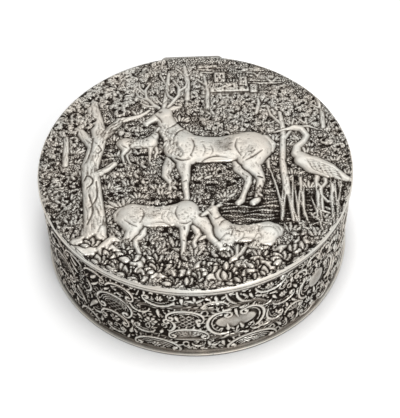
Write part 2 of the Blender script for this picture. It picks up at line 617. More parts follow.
def gilding():
    """Thin matt gilding on silver, paler where it is worn."""
    material = bpy.data.materials.new("gilding")
    material.use_nodes = True
    tree = material.node_tree
    place = add_node(tree, "TexCoord").outputs["Object"]
    cloud = add_node(tree, "TexNoise", sockets={"Vector": place, "Scale": 90, "Detail": 8}).outputs["Fac"]
    bump = add_node(tree, "Bump", sockets={"Strength": 0.12, "Distance": 0.0002, "Height": cloud})
    plug(tree, tree.nodes["Principled BSDF"], {
        "Base Color": add_ramp(tree, cloud, (0.35, (0.52, 0.36, 0.15)), (0.68, (0.76, 0.62, 0.38))),
        "Metallic": 1.0, "Roughness": 0.38, "Normal": bump.outputs[0],
    })
    return material


gilt_silver = gilding()


def gild(piece, faces):
    """Gilds some of the faces, given as a slice."""
    piece.data.materials.append(gilt_silver)
    slots = np.zeros(len(piece.data.polygons), dtype=np.int32)
    slots[faces] = 1
    piece.data.polygons.foreach_set("material_index", slots)


strip_columns, strip_rows, strip_inner_columns = 1080, 88, 180


def make_strip():
    """The strip as one closed mesh, in many faces outside and few inside."""
    around = np.arange(strip_columns) / strip_columns * 2 * math.pi - math.pi
    up = np.linspace(strip_bottom, strip_top, strip_rows)
    angle, height = np.meshgrid(around, up)        # the angle is 0 at the front
    along = angle * strip_repeat / math.pi
    raised = strip.look_up(strip.level, along, height)
    in_field = np.clip((height - strip_field_low) / 0.35, 0, 1)
    radius = strip_border + in_field * (strip_ground - strip_border + strip_relief * raised)

    # Rubbed bright on what stands out and on the smooth fields, and duller towards both sides,
    # most of all to the left
    rubbed = strip.look_up(patina(strip.level, strip.step, 0.46, 0.6, 0.95, True), along, height)
    rubbed += 0.22 * (strip.look_up(strip.matted, along, height) < 0.2)
    rubbed = np.where(in_field < 0.5, 0.6, rubbed) - 0.1
    rubbed -= 0.12 * np.abs(np.sin(angle)) + 0.13 * np.clip(-1.5 * np.sin(angle), 0, 1)

    outside = np.stack([radius * np.sin(angle), -radius * np.cos(angle), height], -1).reshape(-1, 3)
    inner = around[::strip_columns // strip_inner_columns]
    inside = [[(strip_inside * math.sin(a), -strip_inside * math.cos(a), z) for a in inner]
              for z in (strip_bottom, strip_top)]
    points = np.concatenate([outside, *map(np.array, inside)])
    first = len(outside)
    bottom_ring = list(range(first, first + strip_inner_columns))
    top_ring = [index + strip_inner_columns for index in bottom_ring]
    outer_quads = grid_quads(strip_columns, strip_rows)
    inner_quads = grid_quads(strip_inner_columns, 2, first, turned_over=True)
    triangles = stitch(bottom_ring, list(range(strip_columns)), turned_over=True)
    triangles += stitch(top_ring, list(range(first - strip_columns, first)))
    piece = add_mesh("side_strip", points, np.concatenate([outer_quads, inner_quads]), triangles,
                     silver_sheet("side_silver", 2600, polish=0.36),
                     worn=np.concatenate([rubbed.ravel(), np.full(2 * strip_inner_columns, 0.6)]))
    gild(piece, slice(len(outer_quads), len(outer_quads) + len(inner_quads)))
    smooth(piece.data, 60)
    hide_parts("wall_strip")
    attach(piece, "box")


make_strip()


# Lid plate
# A disc of silver sheet chased by hand from both sides with a woodland scene, set inside the
# lid's rim. Figures stand highest, with a sunk dark line round them, among matted leaves.
lid_low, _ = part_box("lid_plate")
plate_radius = 73.3
plate_ground = 50.6              # height of the deepest ground, in mm
plate_crown = 0.5                # how much the plate rises to its middle
picture = Embossing(-75.5, -75.5, 151, 151)  # out over the lid's rim too


def empty_like(sheet):
    """A map of the same size with nothing raised on it."""
    return Embossing(sheet.left, sheet.bottom, sheet.columns * sheet.step,
                     (sheet.rows - 1) * sheet.step, sheet.step)


def uneven(sheet, size, seed):
    """Soft lumps of about this size in mm, from -1 to 1."""
    draw = np.random.default_rng(seed).normal(size=sheet.level.shape).astype(np.float32)
    lumps = soften(draw, max(int(size / sheet.step / 2), 1))
    return np.clip(lumps / (2.2 * lumps.std()), -1, 1)


wobble = uneven(picture, 2.2, 55)


def clods(sheet, pitch, seed, stretch=1.0):
    """Ragged clods about this far apart, as the punch leaves them: how far each cell is from
    the cleft round its clod, a random share for each clod, and a slope across it."""
    draw = np.random.default_rng(seed)
    x, y = sheet.spots()
    x = (x + 0.35 * pitch * uneven(sheet, pitch, seed + 1)) / (pitch * stretch)
    y = (y + 0.35 * pitch * uneven(sheet, pitch, seed + 2)) / pitch
    column, row = (np.floor(v).astype(int) for v in (x, y))
    x, y = x - column.min() + 1, y - row.min() + 1
    column, row = column - column.min() + 1, row - row.min() + 1
    shape = (row.max() + 2, column.max() + 2)
    at, lots = draw.uniform(0.08, 0.92, (2, *shape)), draw.uniform(0, 1, shape)
    first, second = np.full(x.shape, 9.0), np.full(x.shape, 9.0)
    share, slope = np.zeros(x.shape), np.zeros(x.shape)
    for rows in (-1, 0, 1):
        for columns in (-1, 0, 1):
            r, c = row + rows, column + columns
            dx, dy = x - c - at[0][r, c], y - r - at[1][r, c]
            out, lot = np.hypot(dx, dy), lots[r, c]
            second = np.where(out < first, first, np.minimum(second, out))
            share = np.where(out < first, lot, share)
            slope = np.where(out < first, dx * np.cos(40 * lot) + dy * np.sin(40 * lot), slope)
            first = np.minimum(first, out)
    return second - first, share, slope


def matting(sheet, pitch, seed, tall, cleft=0.35, holes=0.12, stretch=1.0):
    """A ground of clods: flat on top, steep at their clefts, some of them left out."""
    inside, share, slope = clods(sheet, pitch, seed, stretch)
    rise = np.sqrt(np.clip(1 - (1 - np.clip(inside / cleft, 0, 1)) ** 2, 0, 1))
    return np.where(share < holes, 0, tall * rise * (0.55 + 0.45 * share + 0.4 * slope))


def lay_leaf(sheet, x, y, long, half, turn, base, tall, gap=0.3, sink=0.3):
    """A pointed leaf with a vein, that covers what is under it and sinks the ground at its edge."""
    angle = math.radians(turn)
    cos, sin = math.cos(angle), math.sin(angle)
    ex, ey = x + long * cos, y + long * sin
    reach = half + gap
    cells, px, py = sheet.patch(min(x, ex) - reach, min(y, ey) - reach, max(x, ex) + reach,
                                max(y, ey) + reach)
    if px.size == 0 or py.size == 0:
        return
    along = ((px - x) * cos + (py - y) * sin) / long
    off = np.abs((py - y) * cos - (px - x) * sin)
    width = half * np.sin(np.clip(along, 0, 1) ** 0.8 * math.pi) + 1e-6
    inside = (off < width) & (along > 0) & (along < 1)
    edge = (off < width + gap) & (along > -gap / long) & (along < 1 + gap / long) & ~inside
    dome = tall * np.sqrt(np.clip(1 - (off / width) ** 2, 0, 1)) - 0.3 * tall * (off < half * 0.16)
    here = sheet.level[cells]
    here = np.where(edge, np.minimum(here, base - sink), here)
    sheet.level[cells] = np.where(inside, base + dome, here)
    sheet.matted[cells] = np.where(inside, 0.35, sheet.matted[cells])


def scatter(left, bottom, right, top, pitch, seed, keep=lambda x, y: True):
    """Places about this far apart, that are off the straight and inside the lid."""
    draw = np.random.default_rng(seed)
    places = []
    for x in np.arange(left, right, pitch):
        for y in np.arange(bottom, top, pitch):
            px, py = x + draw.uniform(-0.6, 0.6) * pitch, y + draw.uniform(-0.6, 0.6) * pitch
            if math.hypot(px, py) < plate_radius + 0.6 and keep(px, py):
                places.append((px, py))
    return places


def raise_mound(sheet, x, y, size, leafy, draw, base=0.35, tall=0.4):
    """A head of leaves in many ragged lobes, each standing in front of the one behind it."""
    count = int(2.4 * size)
    way, out = draw.uniform(0, 2 * math.pi, count), size * np.sqrt(draw.uniform(0, 0.8, count))
    lobes = zip(x + out * np.cos(way), y + 0.9 * out * np.sin(way), draw.uniform(1.3, 2.6, count))
    for lx, ly, r in sorted(lobes, key=lambda lobe: -lobe[1]):
        cells, px, py = sheet.patch(lx - r - 1, ly - r - 1, lx + r + 1, ly + r + 1)
        if px.size == 0 or py.size == 0:
            continue
        out = np.hypot((px - lx) / 1.2, py - ly) / r + 0.3 * wobble[cells]
        under = (out > 1) & (out < 1.22) & (py < ly + 0.3 * r)
        here = np.where(under, np.minimum(sheet.level[cells], base - 0.2), sheet.level[cells])
        dome = base + tall * np.sqrt(np.clip(1 - out ** 2, 0, 1)) + leafy[cells] - 0.25
        sheet.level[cells] = np.where(out <= 1, dome, here)
        sheet.matted[cells] = np.where(out <= 1, 0.75, sheet.matted[cells])


def set_out(points, x, y, size, mirror, tilt):
    """Points of x, y and half width, moved to their place on the lid."""
    angle = math.radians(tilt)
    side = -1 if mirror else 1
    for px, py, half in points:
        px, py = px * size * side, py * size
        yield (x + px * math.cos(angle) - py * math.sin(angle),
               y + px * math.sin(angle) + py * math.cos(angle), half * size)


def comb(cut, limb, draw, hairs, long):
    """Short strokes cut along a limb, so many to the square millimetre."""
    for (x0, y0, r0), (x1, y1, r1) in zip(limb[:-1], limb[1:]):
        span = math.hypot(x1 - x0, y1 - y0) + 1e-6
        along = math.atan2(y1 - y0, x1 - x0)
        for _ in range(int(hairs * span * (r0 + r1))):
            t, off = draw.uniform(0, 1), draw.uniform(-0.85, 0.85)
            half = (r0 + t * (r1 - r0)) * off
            x = x0 + t * (x1 - x0) - half * math.sin(along)
            y = y0 + t * (y1 - y0) + half * math.cos(along)
            way, reach = along + draw.uniform(-0.3, 0.3), long * draw.uniform(0.5, 1.0)
            cut.raise_limb([(x, y, 0.22), (*beyond(x, y, reach, way), 0.16)], draw.uniform(0.1, 0.34))


def raise_figure(sheet, limbs, x=0, y=0, size=1.0, mirror=False, tilt=0, base=0.5, tall=0.62,
                 lines=(), gap=0.55, sink=0.5, hairs=0.0, long=1.5):
    """A figure of tapering limbs that flow together, with lines and strokes cut into it."""
    own, cut = empty_like(sheet), empty_like(sheet)
    draw = np.random.default_rng(int(abs(x * 7 + y * 13)) + len(limbs))
    for points in limbs:
        placed = list(set_out(points, x, y, size, mirror, tilt))
        own.raise_limb(placed, tall, blend=6, grow=True)
        if hairs:
            comb(cut, placed, draw, hairs, long)
    for points in lines:
        wide = [(px, py, half + 0.12) for px, py, half in set_out(points, x, y, size, mirror, tilt)]
        cut.raise_limb(winding(wide), 0.45)
    body = own.level > 0.02
    near = soften(body.astype(np.float32), max(int(gap / sheet.step / 3), 1))
    beside = np.clip(near * 4, 0, 1) * (1 - body)
    face = base + own.level + 0.05 * wobble - np.minimum(cut.level, 0.42)
    sunk = sheet.level + beside * (np.minimum(sheet.level, base - sink) - sheet.level)
    sheet.matted = np.where(body, 0.1, sheet.matted * (1 - 0.6 * beside))
    sheet.level = np.where(body, face, sunk)


# Each figure is drawn about its middle, as limbs of x, y and half width. The deer and the hare
# face left here, and the heron and the fox face right.
deer_body = (
    ((-14, 4, 8.2), (-6, 2.5, 7.6), (2, 2.2, 7.2), (10, 3.2, 7.8), (15, 3.6, 8.6)),
    ((-15, 6, 7.4), (-13, 0, 6.6)),
    ((17, 2, 7.4), (14.5, -3, 6)),
    ((21.5, 8, 2.0), (24.6, 4.5, 1.6), (24.2, 0.5, 0.9)),
)
deer_neck_up = (
    ((-15, 8, 6.8), (-18.5, 13, 5.2), (-20.5, 18, 4.1), (-21.6, 22, 3.6)),
    ((-21.6, 24.6, 3.5), (-24.4, 22.8, 2.7), (-27.2, 20.8, 2.0), (-29.6, 19.2, 1.7)),
    ((-20.0, 26.5, 1.0), (-17.4, 28.2, 1.3), (-14.6, 28.6, 0.4)),
    ((-22.4, 27.2, 0.8), (-21.8, 30.0, 1.1), (-20.6, 32.2, 0.3)),
)
deer_neck_down = (
    ((-15, 4, 6.6), (-20.5, 1, 5.0), (-25.5, -5, 3.8), (-28.5, -11, 3.2)),
    ((-29.0, -13, 3.3), (-30.8, -16.4, 2.6), (-32.4, -19.4, 1.9), (-33.2, -21.4, 1.6)),
    ((-26.4, -12.4, 0.9), (-23.8, -13.6, 1.2), (-21.4, -15.4, 0.3)),
    ((-30.6, -10.6, 0.7), (-33.0, -9.6, 1.0), (-35.2, -9.4, 0.3)),
)
deer_antlers = (
    ((-21.0, 27.2, 0.95), (-18.2, 31.5, 0.85), (-15.4, 36.0, 0.8), (-15.2, 41.0, 0.7),
     (-17.6, 46.0, 0.4)),
    ((-20.2, 28.6, 0.7), (-23.4, 31.2, 0.55), (-25.4, 34.4, 0.3)),
    ((-17.2, 33.2, 0.7), (-20.0, 36.0, 0.6), (-20.8, 39.6, 0.3)),
    ((-15.3, 38.4, 0.65), (-12.2, 41.4, 0.5), (-11.4, 45.0, 0.3)),
    ((-22.6, 27.0, 0.9), (-26.6, 30.6, 0.8), (-29.8, 35.0, 0.75), (-30.2, 40.0, 0.6),
     (-28.0, 44.6, 0.35)),
    ((-24.8, 29.0, 0.6), (-29.4, 29.8, 0.5), (-32.6, 32.2, 0.3)),
    ((-28.6, 33.2, 0.6), (-33.2, 36.0, 0.5), (-34.6, 39.4, 0.3)),
    ((-30.2, 38.0, 0.55), (-33.0, 42.0, 0.4), (-33.0, 45.4, 0.25)),
)
deer_near_legs = (
    ((-13.5, -1, 4.6), (-13.8, -7, 3.0), (-13.0, -13, 1.9), (-13.3, -17, 1.5), (-12.6, -24.5, 1.15),
     (-13.4, -27.0, 1.5), (-14.8, -28.2, 1.4)),
    ((16.5, 0, 6.6), (14.8, -7, 4.2), (17.8, -12.5, 2.3), (18.6, -15.5, 1.8), (16.8, -23.5, 1.2),
     (16.4, -26.5, 1.5), (14.6, -28.0, 1.5)),
)
deer_far_legs = (
    ((-17.5, -1, 3.6), (-20.5, -7, 2.5), (-21.5, -11.5, 1.7), (-18.8, -16.5, 1.2), (-19.4, -19.0, 1.3)),
    ((11.5, -2, 5.4), (10.0, -9, 3.0), (13.0, -14.0, 1.9), (13.2, -16.5, 1.5), (10.8, -23.5, 1.1),
     (9.8, -26.5, 1.4), (8.4, -27.8, 1.3)),
)
deer_folded_legs = (
    ((-12, -4, 4.4), (-18, -7.4, 2.6), (-23, -8.2, 1.7), (-18, -9.8, 1.2), (-12, -10.0, 1.3)),
    ((15, -1, 7.0), (8, -6.5, 3.8), (3, -8.8, 2.0), (9, -10.2, 1.4), (14, -10.4, 1.4)),
)
deer_lines = (
    ((-10.2, 8.4, 0.12), (-9.0, 3.6, 0.26), (-10.6, -1.6, 0.12)),
    ((9.6, 7.4, 0.12), (8.6, 2.6, 0.26), (10.8, -2.6, 0.12)),
    ((-5.4, 4.6, 0.05), (-4.4, 1.2, 0.12), (-5.6, -2.4, 0.05)),
    ((-2.0, 3.8, 0.05), (-1.2, 0.4, 0.1), (-2.4, -2.2, 0.05)),
    ((-6.0, -4.6, 0.12), (-1.0, -2.6, 0.24), (5.0, -3.4, 0.12)),
    ((12.4, -5.4, 0.15), (16.0, -3.4, 0.28), (20.0, 0.0, 0.15)),
    ((-17.4, -2.6, 0.15), (-14.6, -4.2, 0.28), (-11.0, -3.6, 0.15)),
    ((-15.0, -25.8, 0.2), (-12.0, -26.0, 0.2)), ((14.4, -25.6, 0.2), (18.0, -25.8, 0.2)),
    ((-12.6, -15.2, 0.18), (-14.2, -16.0, 0.18)), ((17.0, -14.2, 0.18), (19.4, -15.2, 0.18)),
)
neck_lines = (
    ((-12.4, 14.6, 0.15), (-15.6, 12.6, 0.26), (-18.0, 8.6, 0.2)),
    ((-15.6, 19.4, 0.15), (-17.6, 16.4, 0.26), (-20.8, 14.6, 0.15)),
    ((-24.2, 25.2, 0.3), (-23.0, 25.3, 0.34)), ((-28.6, 17.9, 0.15), (-25.6, 19.9, 0.2)),
    ((-30.2, 19.8, 0.25), (-29.8, 20.0, 0.25)),
    ((-26.0, 23.8, 0.12), (-23.6, 20.6, 0.24), (-22.8, 18.4, 0.15)),
)


def raise_deer(sheet, x, y, size, mirror=False, tilt=0, base=0.5, neck=deer_neck_up, lying=False,
               stag=False):
    """A deer in profile, its far legs behind its body. A stag has antlers and a mane."""
    where = dict(x=x, y=y, size=size, mirror=mirror, tilt=tilt)
    if stag:
        raise_figure(sheet, deer_antlers, **where, base=base, tall=0.75, gap=0.8)
    if not lying:
        raise_figure(sheet, deer_far_legs, **where, base=base - 0.25, tall=0.5, hairs=0.12)
    lines = deer_lines + (neck_lines if neck is deer_neck_up else ())
    limbs = deer_body + neck + (() if lying else deer_near_legs)
    raise_figure(sheet, limbs, **where, base=base, tall=0.56, lines=lines, hairs=0.12)
    if lying:
        own = empty_like(sheet)
        for points in deer_folded_legs:
            own.raise_limb(list(set_out(points, **where)), 0.62, blend=5, grow=True)
        leg = own.level > 0.02
        crease = np.clip(soften(leg.astype(np.float32), 2) * 3, 0, 1) * (1 - leg)
        sheet.level = np.where(leg, np.maximum(sheet.level + 0.12, base + own.level),
                               sheet.level - 0.18 * crease)
    draw = np.random.default_rng(int(x * 3 + 900))
    if stag:
        for k in range(46):
            t = (k + draw.uniform(0, 1)) / 46
            px, py = -23.4 + 6.4 * t + draw.uniform(-1.2, 2.6), 17.5 - 17.0 * t
            (px, py, _), = set_out([(px, py, 1)], **where)
            lay_leaf(sheet, px, py, draw.uniform(3.0, 4.6), 0.75, draw.uniform(238, 282), base + 0.8,
                     0.7, 0.2)
    else:
        for _ in range(60):
            (px, py, half), = set_out([(draw.uniform(-13, 20), draw.uniform(0.5, 9.5), 0.62)], **where)
            sheet.raise_limb([(px, py, half), (px + 0.01, py, half)], 0.28, base=base + 1.15)


heron = (
    ((5, 4, 4.0), (0, 1, 5.6), (-7, -3, 4.8), (-13, -7, 2.6), (-18, -10.5, 0.8)),
    ((4, 5, 3.6), (7.6, 8.5, 2.6), (7.0, 13, 1.9), (3.4, 16.6, 1.6), (1.4, 20.5, 1.5), (3.6, 24.6, 1.7)),
    ((4.2, 25.4, 1.9), (7.4, 26.2, 1.8), (9.6, 25.6, 1.0)),
    ((9.4, 25.7, 0.95), (13, 24.8, 0.6), (17.4, 23.4, 0.25)),
    ((5, 26.8, 0.7), (0, 27, 0.5), (-4.6, 24.6, 0.3)),
)
heron_legs = (
    ((-2, -3, 1.8), (-0.6, -10.5, 1.0), (-2.4, -13.5, 0.9), (-2.0, -28, 0.65)),
    ((-2.0, -28, 0.7), (2.4, -29.4, 0.4)), ((-2.0, -28, 0.7), (-5.2, -29.2, 0.4)),
    ((-5, -4, 1.6), (-5.0, -10.5, 0.9), (-1.0, -16.0, 0.7), (-4.6, -22.0, 0.6), (-7.0, -22.6, 0.4)),
)

hare = (
    ((4.5, 0.6, 4.2), (0.5, 0.4, 3.4), (-3.2, 1.4, 2.6)),
    ((-4.6, 4.2, 2.1), (-7.0, 3.4, 1.3)), ((-3.6, 5.6, 0.9), (-1.2, 9.6, 0.9), (0.2, 11.2, 0.3)),
    ((-4.8, 6.0, 0.8), (-4.6, 10.4, 0.8), (-4.0, 12.0, 0.3)), ((5.0, -2.4, 1.8), (0.2, -3.4, 1.0)),
    ((-3.4, -0.6, 1.2), (-4.6, -3.6, 0.8)), ((8.8, 0.6, 1.4), (9.6, 1.6, 0.9)),
)
hare_lines = (
    ((0.6, 2.6, 0.1), (2.0, -0.4, 0.24), (4.8, -1.6, 0.1)), ((-5.6, 4.6, 0.25), (-5.3, 4.7, 0.25)),
    ((-2.4, 7.0, 0.1), (-1.0, 9.4, 0.16)), ((-1.8, 3.6, 0.1), (-1.2, 0.8, 0.2), (-2.0, -1.4, 0.1)),
)
fox = (
    ((-9, 0, 3.8), (0, -0.6, 3.4), (9, 0.2, 3.9)), ((11, 2.4, 3.2), (14.4, 6.6, 2.4), (16.2, 8.4, 2.2)),
    ((16.6, 8.4, 2.1), (20.4, 6.6, 0.8)), ((15.2, 10.2, 0.9), (14.6, 12.8, 0.3)),
    ((17.0, 10.2, 0.8), (17.2, 12.6, 0.3)),
    ((-12, 0, 2.4), (-18, -3.4, 2.6), (-23, -6.2, 2.0), (-26.4, -7.2, 0.5)),
    ((9.6, -2.4, 1.6), (10.4, -7.4, 0.8), (9.8, -11.4, 0.8)),
    ((12.4, -2.0, 1.3), (15.0, -6.6, 0.7), (15.2, -10.8, 0.7)),
    ((-9.4, -2.2, 2.4), (-11.6, -6.4, 1.1), (-9.8, -11.2, 0.8)),
    ((-6.6, -2.4, 1.6), (-5.6, -7.4, 0.8), (-7.2, -10.8, 0.7)),
)
fox_lines = (
    ((7.0, 2.6, 0.1), (6.6, -0.4, 0.22), (8.2, -3.0, 0.1)),
    ((-6.4, 2.8, 0.1), (-6.0, -0.6, 0.22), (-7.6, -3.2, 0.1)),
    ((16.4, 8.8, 0.25), (16.8, 8.9, 0.25)), ((-22.6, -4.2, 0.1), (-21.6, -7.6, 0.2)),
)


def raise_blocks(sheet, blocks):
    """Masonry: left, bottom, right, top and height of each block, highest last."""
    for left, bottom, right, top, tall in blocks:
        cells, px, py = sheet.patch(left - 0.6, bottom - 0.6, right + 0.6, top + 0.6)
        inside = (px >= left) & (px <= right) & (py >= bottom) & (py <= top)
        here = sheet.level[cells]
        sheet.level[cells] = np.where(inside, tall, np.minimum(here, max(tall - 0.5, 0)))


def raise_castle(sheet, x, y):
    """The castle on its hill, far off."""
    raise_figure(sheet, (((x - 16, y - 6, 6), (x, y - 1, 8), (x + 17, y - 9, 7)),),
                 base=0.2, tall=0.16, gap=0.5, sink=0.1)
    stones = [(-12, 2, 9, 9, 0.95), (-9, 9, -3.4, 16.5, 1.15), (3.4, 6, 7.6, 13.0, 1.1), (9, 1, 12.4, 7, 0.9)]
    for left, right, top in ((-12, -9.4, 10.2), (-2.4, 3.2, 10.2), (-9.6, -2.8, 17.8), (2.8, 8.2, 14.2)):
        stones += [(k, top - 1.2, k + 0.85, top + 0.6, 1.2) for k in np.arange(left, right, 1.5)]
    raise_blocks(sheet, [(x + a, y + b, x + c, y + d, e) for a, b, c, d, e in stones])
    pits = empty_like(sheet)
    windows = ((-7.6, 13), (-5.2, 13), (-6.4, 10.4), (5.5, 10.4), (-10.5, 6), (-7, 6), (0, 6), (3, 4),
               (-4, 4), (6.6, 4))
    for a, b in windows:
        pits.raise_limb([(x + a, y + b - 0.6, 0.45), (x + a, y + b + 0.6, 0.45)], 0.5)
    for k in range(5):
        pits.raise_limb([(x - 12, y + 3.2 + 1.4 * k, 0.12), (x + 9, y + 3.2 + 1.4 * k, 0.12)], 0.14)
    sheet.level -= pits.level


def raise_clouds(sheet):
    """Clouds of three curved lines and three puffs each, and two birds."""
    for cx, cy, width in ((36, 57, 9), (30, 63, 7), (8, 66, 8), (2, 60, 6), (44, 50, 6)):
        for k in range(3):
            line = [(cx - width + 2 * width * t, cy - 1.6 * k + 0.9 * math.sin(3 * t + k) * (1 - t),
                     0.75 * math.sin(0.25 + 2.6 * t)) for t in np.linspace(0, 1, 12)]
            sheet.raise_limb(line, 0.4, base=0.15)
        for k in range(3):
            bx = cx - width * 0.5 + k * width * 0.42
            sheet.raise_limb([(bx, cy + 1.0, 1.5 + 0.3 * k), (bx + 1.2, cy + 1.0, 1.3)], 0.5, base=0.15)
    for bx, by, size in ((40, 54, 1.0), (33, 59.4, 0.75)):
        for side in (-1, 1):
            raise_drop(sheet, bx, by, 4.6 * size, 0.75 * size, 90 - side * 52, 1.0, 0.3 * side)
        raise_drop(sheet, bx - 1.0 * size, by - 0.2, 3.6 * size, 0.6 * size, -12, 1.0, 0)


def is_land(x, y):
    """Whether plants may grow here, off the sky over the hill and off the pool."""
    sky = y > 43 + 0.012 * (x - 18) ** 2 and -2 < x < 50
    pool = ((x - 34) / 26) ** 2 + ((y + 30) / 13) ** 2 < 1
    return not sky and not pool


def lay_ground(sheet, near, far):
    """The matted ground in three sizes of clod, and the flat pool in it."""
    fine = matting(sheet, 1.2, 100, 0.34, 0.4, 0.1, 1.5)
    middling = matting(sheet, 1.6, 110, 0.5, 0.36, 0.16, 1.5)
    coarse = matting(sheet, 2.2, 120, 0.95, 0.3, 0.24, 1.2)
    sheet.level += near * coarse + (1 - near) * (far * middling + (1 - far) * fine)
    across, up = sheet.spots()
    pool = ((across - 36) / 27) ** 2 + ((up + 30) / 11) ** 2
    sheet.level = np.where(pool < 1, 0.12, sheet.level)


def raise_tufts(sheet, places, size, seed):
    """Low plants of four to six blades, from the far ones to the near."""
    draw = np.random.default_rng(seed)
    for x, y in sorted(places, key=lambda place: -place[1]):
        turn, count = 90 + draw.uniform(-25, 25), draw.integers(4, 7)
        for k in range(count):
            long = size * draw.uniform(0.7, 1.3)
            lay_leaf(sheet, x + 0.2 * size * (k - count / 2), y, long, 0.15 * long,
                     turn - 24 * (k - (count - 1) / 2), 0.55 + draw.uniform(-0.08, 0.1), 0.5, 0.4, 0.5)


bushes = (
    # x, y and size, each laid over the ones before it
    (-16, 66, 7), (-4, 62, 7.5), (-27, 62, 8), (-12, 54, 7), (0, 50, 7), (-22, 50, 7), (60, 38, 7),
    (66, 26, 7.5),
    (8, 42, 5.5), (24, 40, 6), (35, 42, 5.5), (17, 33, 6), (30, 32, 7), (2, 38, 6.5), (-10, 40, 6.5),
    (58, 28, 6.5), (68, 12, 6), (-20, 32, 6), (22, 24, 5.5), (38, 23, 5), (8, 27, 5.5), (-32, 22, 5.5),
    (-66, 28, 7.5), (-68, 14, 7), (-61, 18, 6), (-28, 12, 5), (-67, 0, 7), (-61, -8, 6), (-66, -18, 6.5),
    (-60, -27, 6), (-34, -4, 5), (-27, -12, 4.5), (64, -14, 5), (-62, -38, 6), (0, -20, 4.5), (-8, -10, 4.5),
)
trunks = (
    # x and y of the foot, x and y of the top, half width
    (-15, 36, -12, 63, 1.3), (-3, 44, -4, 68, 1.5), (7, 38, 6, 60, 1.2), (31, 33, 33, 46, 1.0),
    (-62, 2, -64, 30, 1.6), (63, 22, 62, 40, 1.3), (54, 12, 55, 30, 1.1),
)


def raise_trunk(sheet, x0, y0, x1, y1, half):
    """A tree of the far wood, with two branches."""
    middle, long = 0.5 * (x0 + x1), y1 - y0
    raise_figure(sheet, (
        ((x0, y0, half), (0.6 * x0 + 0.4 * x1 + 0.8, 0.5 * (y0 + y1), 0.85 * half), (x1, y1, 0.6 * half)),
        ((middle, y0 + 0.6 * long, 0.5 * half), (x1 + 4, y0 + 0.85 * long, 0.3)),
        ((middle, y0 + 0.7 * long, 0.5 * half), (x1 - 4.5, y1 - 1, 0.3)),
    ), base=0.45, tall=0.6, gap=0.6, sink=0.45, hairs=0.5, long=3.0)


def raise_ripples(sheet):
    """Wavy lines over the pool."""
    for k in range(9):
        py = -20.0 - 2.5 * k
        half = 25 * math.sqrt(max(1 - ((py + 30) / 13) ** 2, 0.02))
        line = [(x, py + 0.5 * math.sin(x * 0.45 + k * 1.7), 0.42 + 0.2 * math.sin(x * 0.3 + k))
                for x in np.linspace(34 - half, min(34 + half, 70), 24)]
        sheet.raise_limb(line, 0.5)


oak = (
    ((-47, -44, 6.5), (-46.5, -34, 5.2), (-48, -20, 4.6), (-50, 0, 4.3), (-46, 20, 3.9), (-50, 40, 3.0),
     (-44, 54, 2.0)),
    ((-47, -44, 5.0), (-55, -45, 2.4)), ((-46, -45, 5.0), (-38, -51, 2.6), (-33, -53.6, 1.5)),
    ((-48, 12, 3.0), (-56, 24, 2.2), (-60, 36, 1.5)),
    ((-47, 16, 3.0), (-37, 29, 2.2), (-33, 42, 1.5), (-35, 52, 1.0)),
    ((-36, 30, 1.6), (-26, 33, 1.1), (-19, 39, 0.7)), ((-49, -6, 2.6), (-42, -2, 1.8), (-38.5, 1.5, 1.6)),
)
oak_lines = (
    ((-51, -14, 0.3), (-48.6, -11.4, 0.4), (-48.4, -8.4, 0.4), (-51, -6.4, 0.3), (-52.4, -9.4, 0.3)),
    ((-46.4, 8, 0.3), (-44.8, 10.4, 0.4), (-46.4, 13, 0.3)),
    ((-49, -26, 0.3), (-46, -20, 0.4), (-46.6, -10, 0.3)),
    ((-50, -36, 0.3), (-47.6, -28, 0.4), (-49.8, -18, 0.3)), ((-52, 2, 0.3), (-50, 9, 0.4), (-49, 18, 0.3)),
)
oak_heads = ((-58, 40, 8), (-48, 54, 8), (-36, 60, 7.5), (-30, 50, 8), (-42, 44, 7), (-54, 30, 6),
             (-24, 42, 6), (-36, 38, 5.5), (-63, 26, 6))
birch = (
    ((42.5, -20, 1.9), (41.6, 0, 1.6), (43.4, 20, 1.4), (42.4, 36, 1.0), (44, 46, 0.7)),
    ((42.2, 12, 0.9), (47, 20, 0.7), (49, 28, 0.5)), ((43, 24, 0.8), (38, 31, 0.6), (36.6, 37, 0.4)),
)
birch_heads = ((44, 46, 5.5), (50, 40, 5), (38, 40, 4.5), (46, 35, 4.5), (54, 33, 4))


def raise_heron(sheet, x, y):
    """The heron, with rows of feathers on its wing, and reeds round its legs."""
    raise_figure(sheet, heron_legs, x, y, 0.98, mirror=True, base=0.5, tall=0.7)
    raise_figure(sheet, heron, x, y, 0.98, mirror=True, base=0.7, tall=0.7, hairs=0.2)
    for row in range(5):
        for k in range(4):
            lay_leaf(sheet, x + 2.4 * row - 2.5 + 0.5 * k, y + 3.4 - 1.9 * row - 1.5 * k + 1.2 * row * 0.4,
                     4.6, 0.95, -32, 1.7 - 0.12 * k, 0.5, gap=0.25)
    draw = np.random.default_rng(31)
    for k in range(26):
        rx = 38 + draw.uniform(0, 27)
        ry = -32 + draw.uniform(-8, 2)
        lean = draw.uniform(-0.2, 0.2)
        tall = draw.uniform(14, 30)
        if abs(rx - x) > 6 or tall < 18:
            tip_x, tip_y = rx + lean * tall, ry + tall
            reed = [(rx, ry, 0.6), (rx + lean * tall * 0.4, ry + tall * 0.5, 0.55), (tip_x, tip_y, 0.2)]
            sheet.raise_limb(reed, 0.8, base=0.45)
            if k % 3 == 0:
                sheet.raise_limb([(tip_x, tip_y - 2, 0.9), (tip_x, tip_y + 2, 0.9)], 0.9, base=0.5)


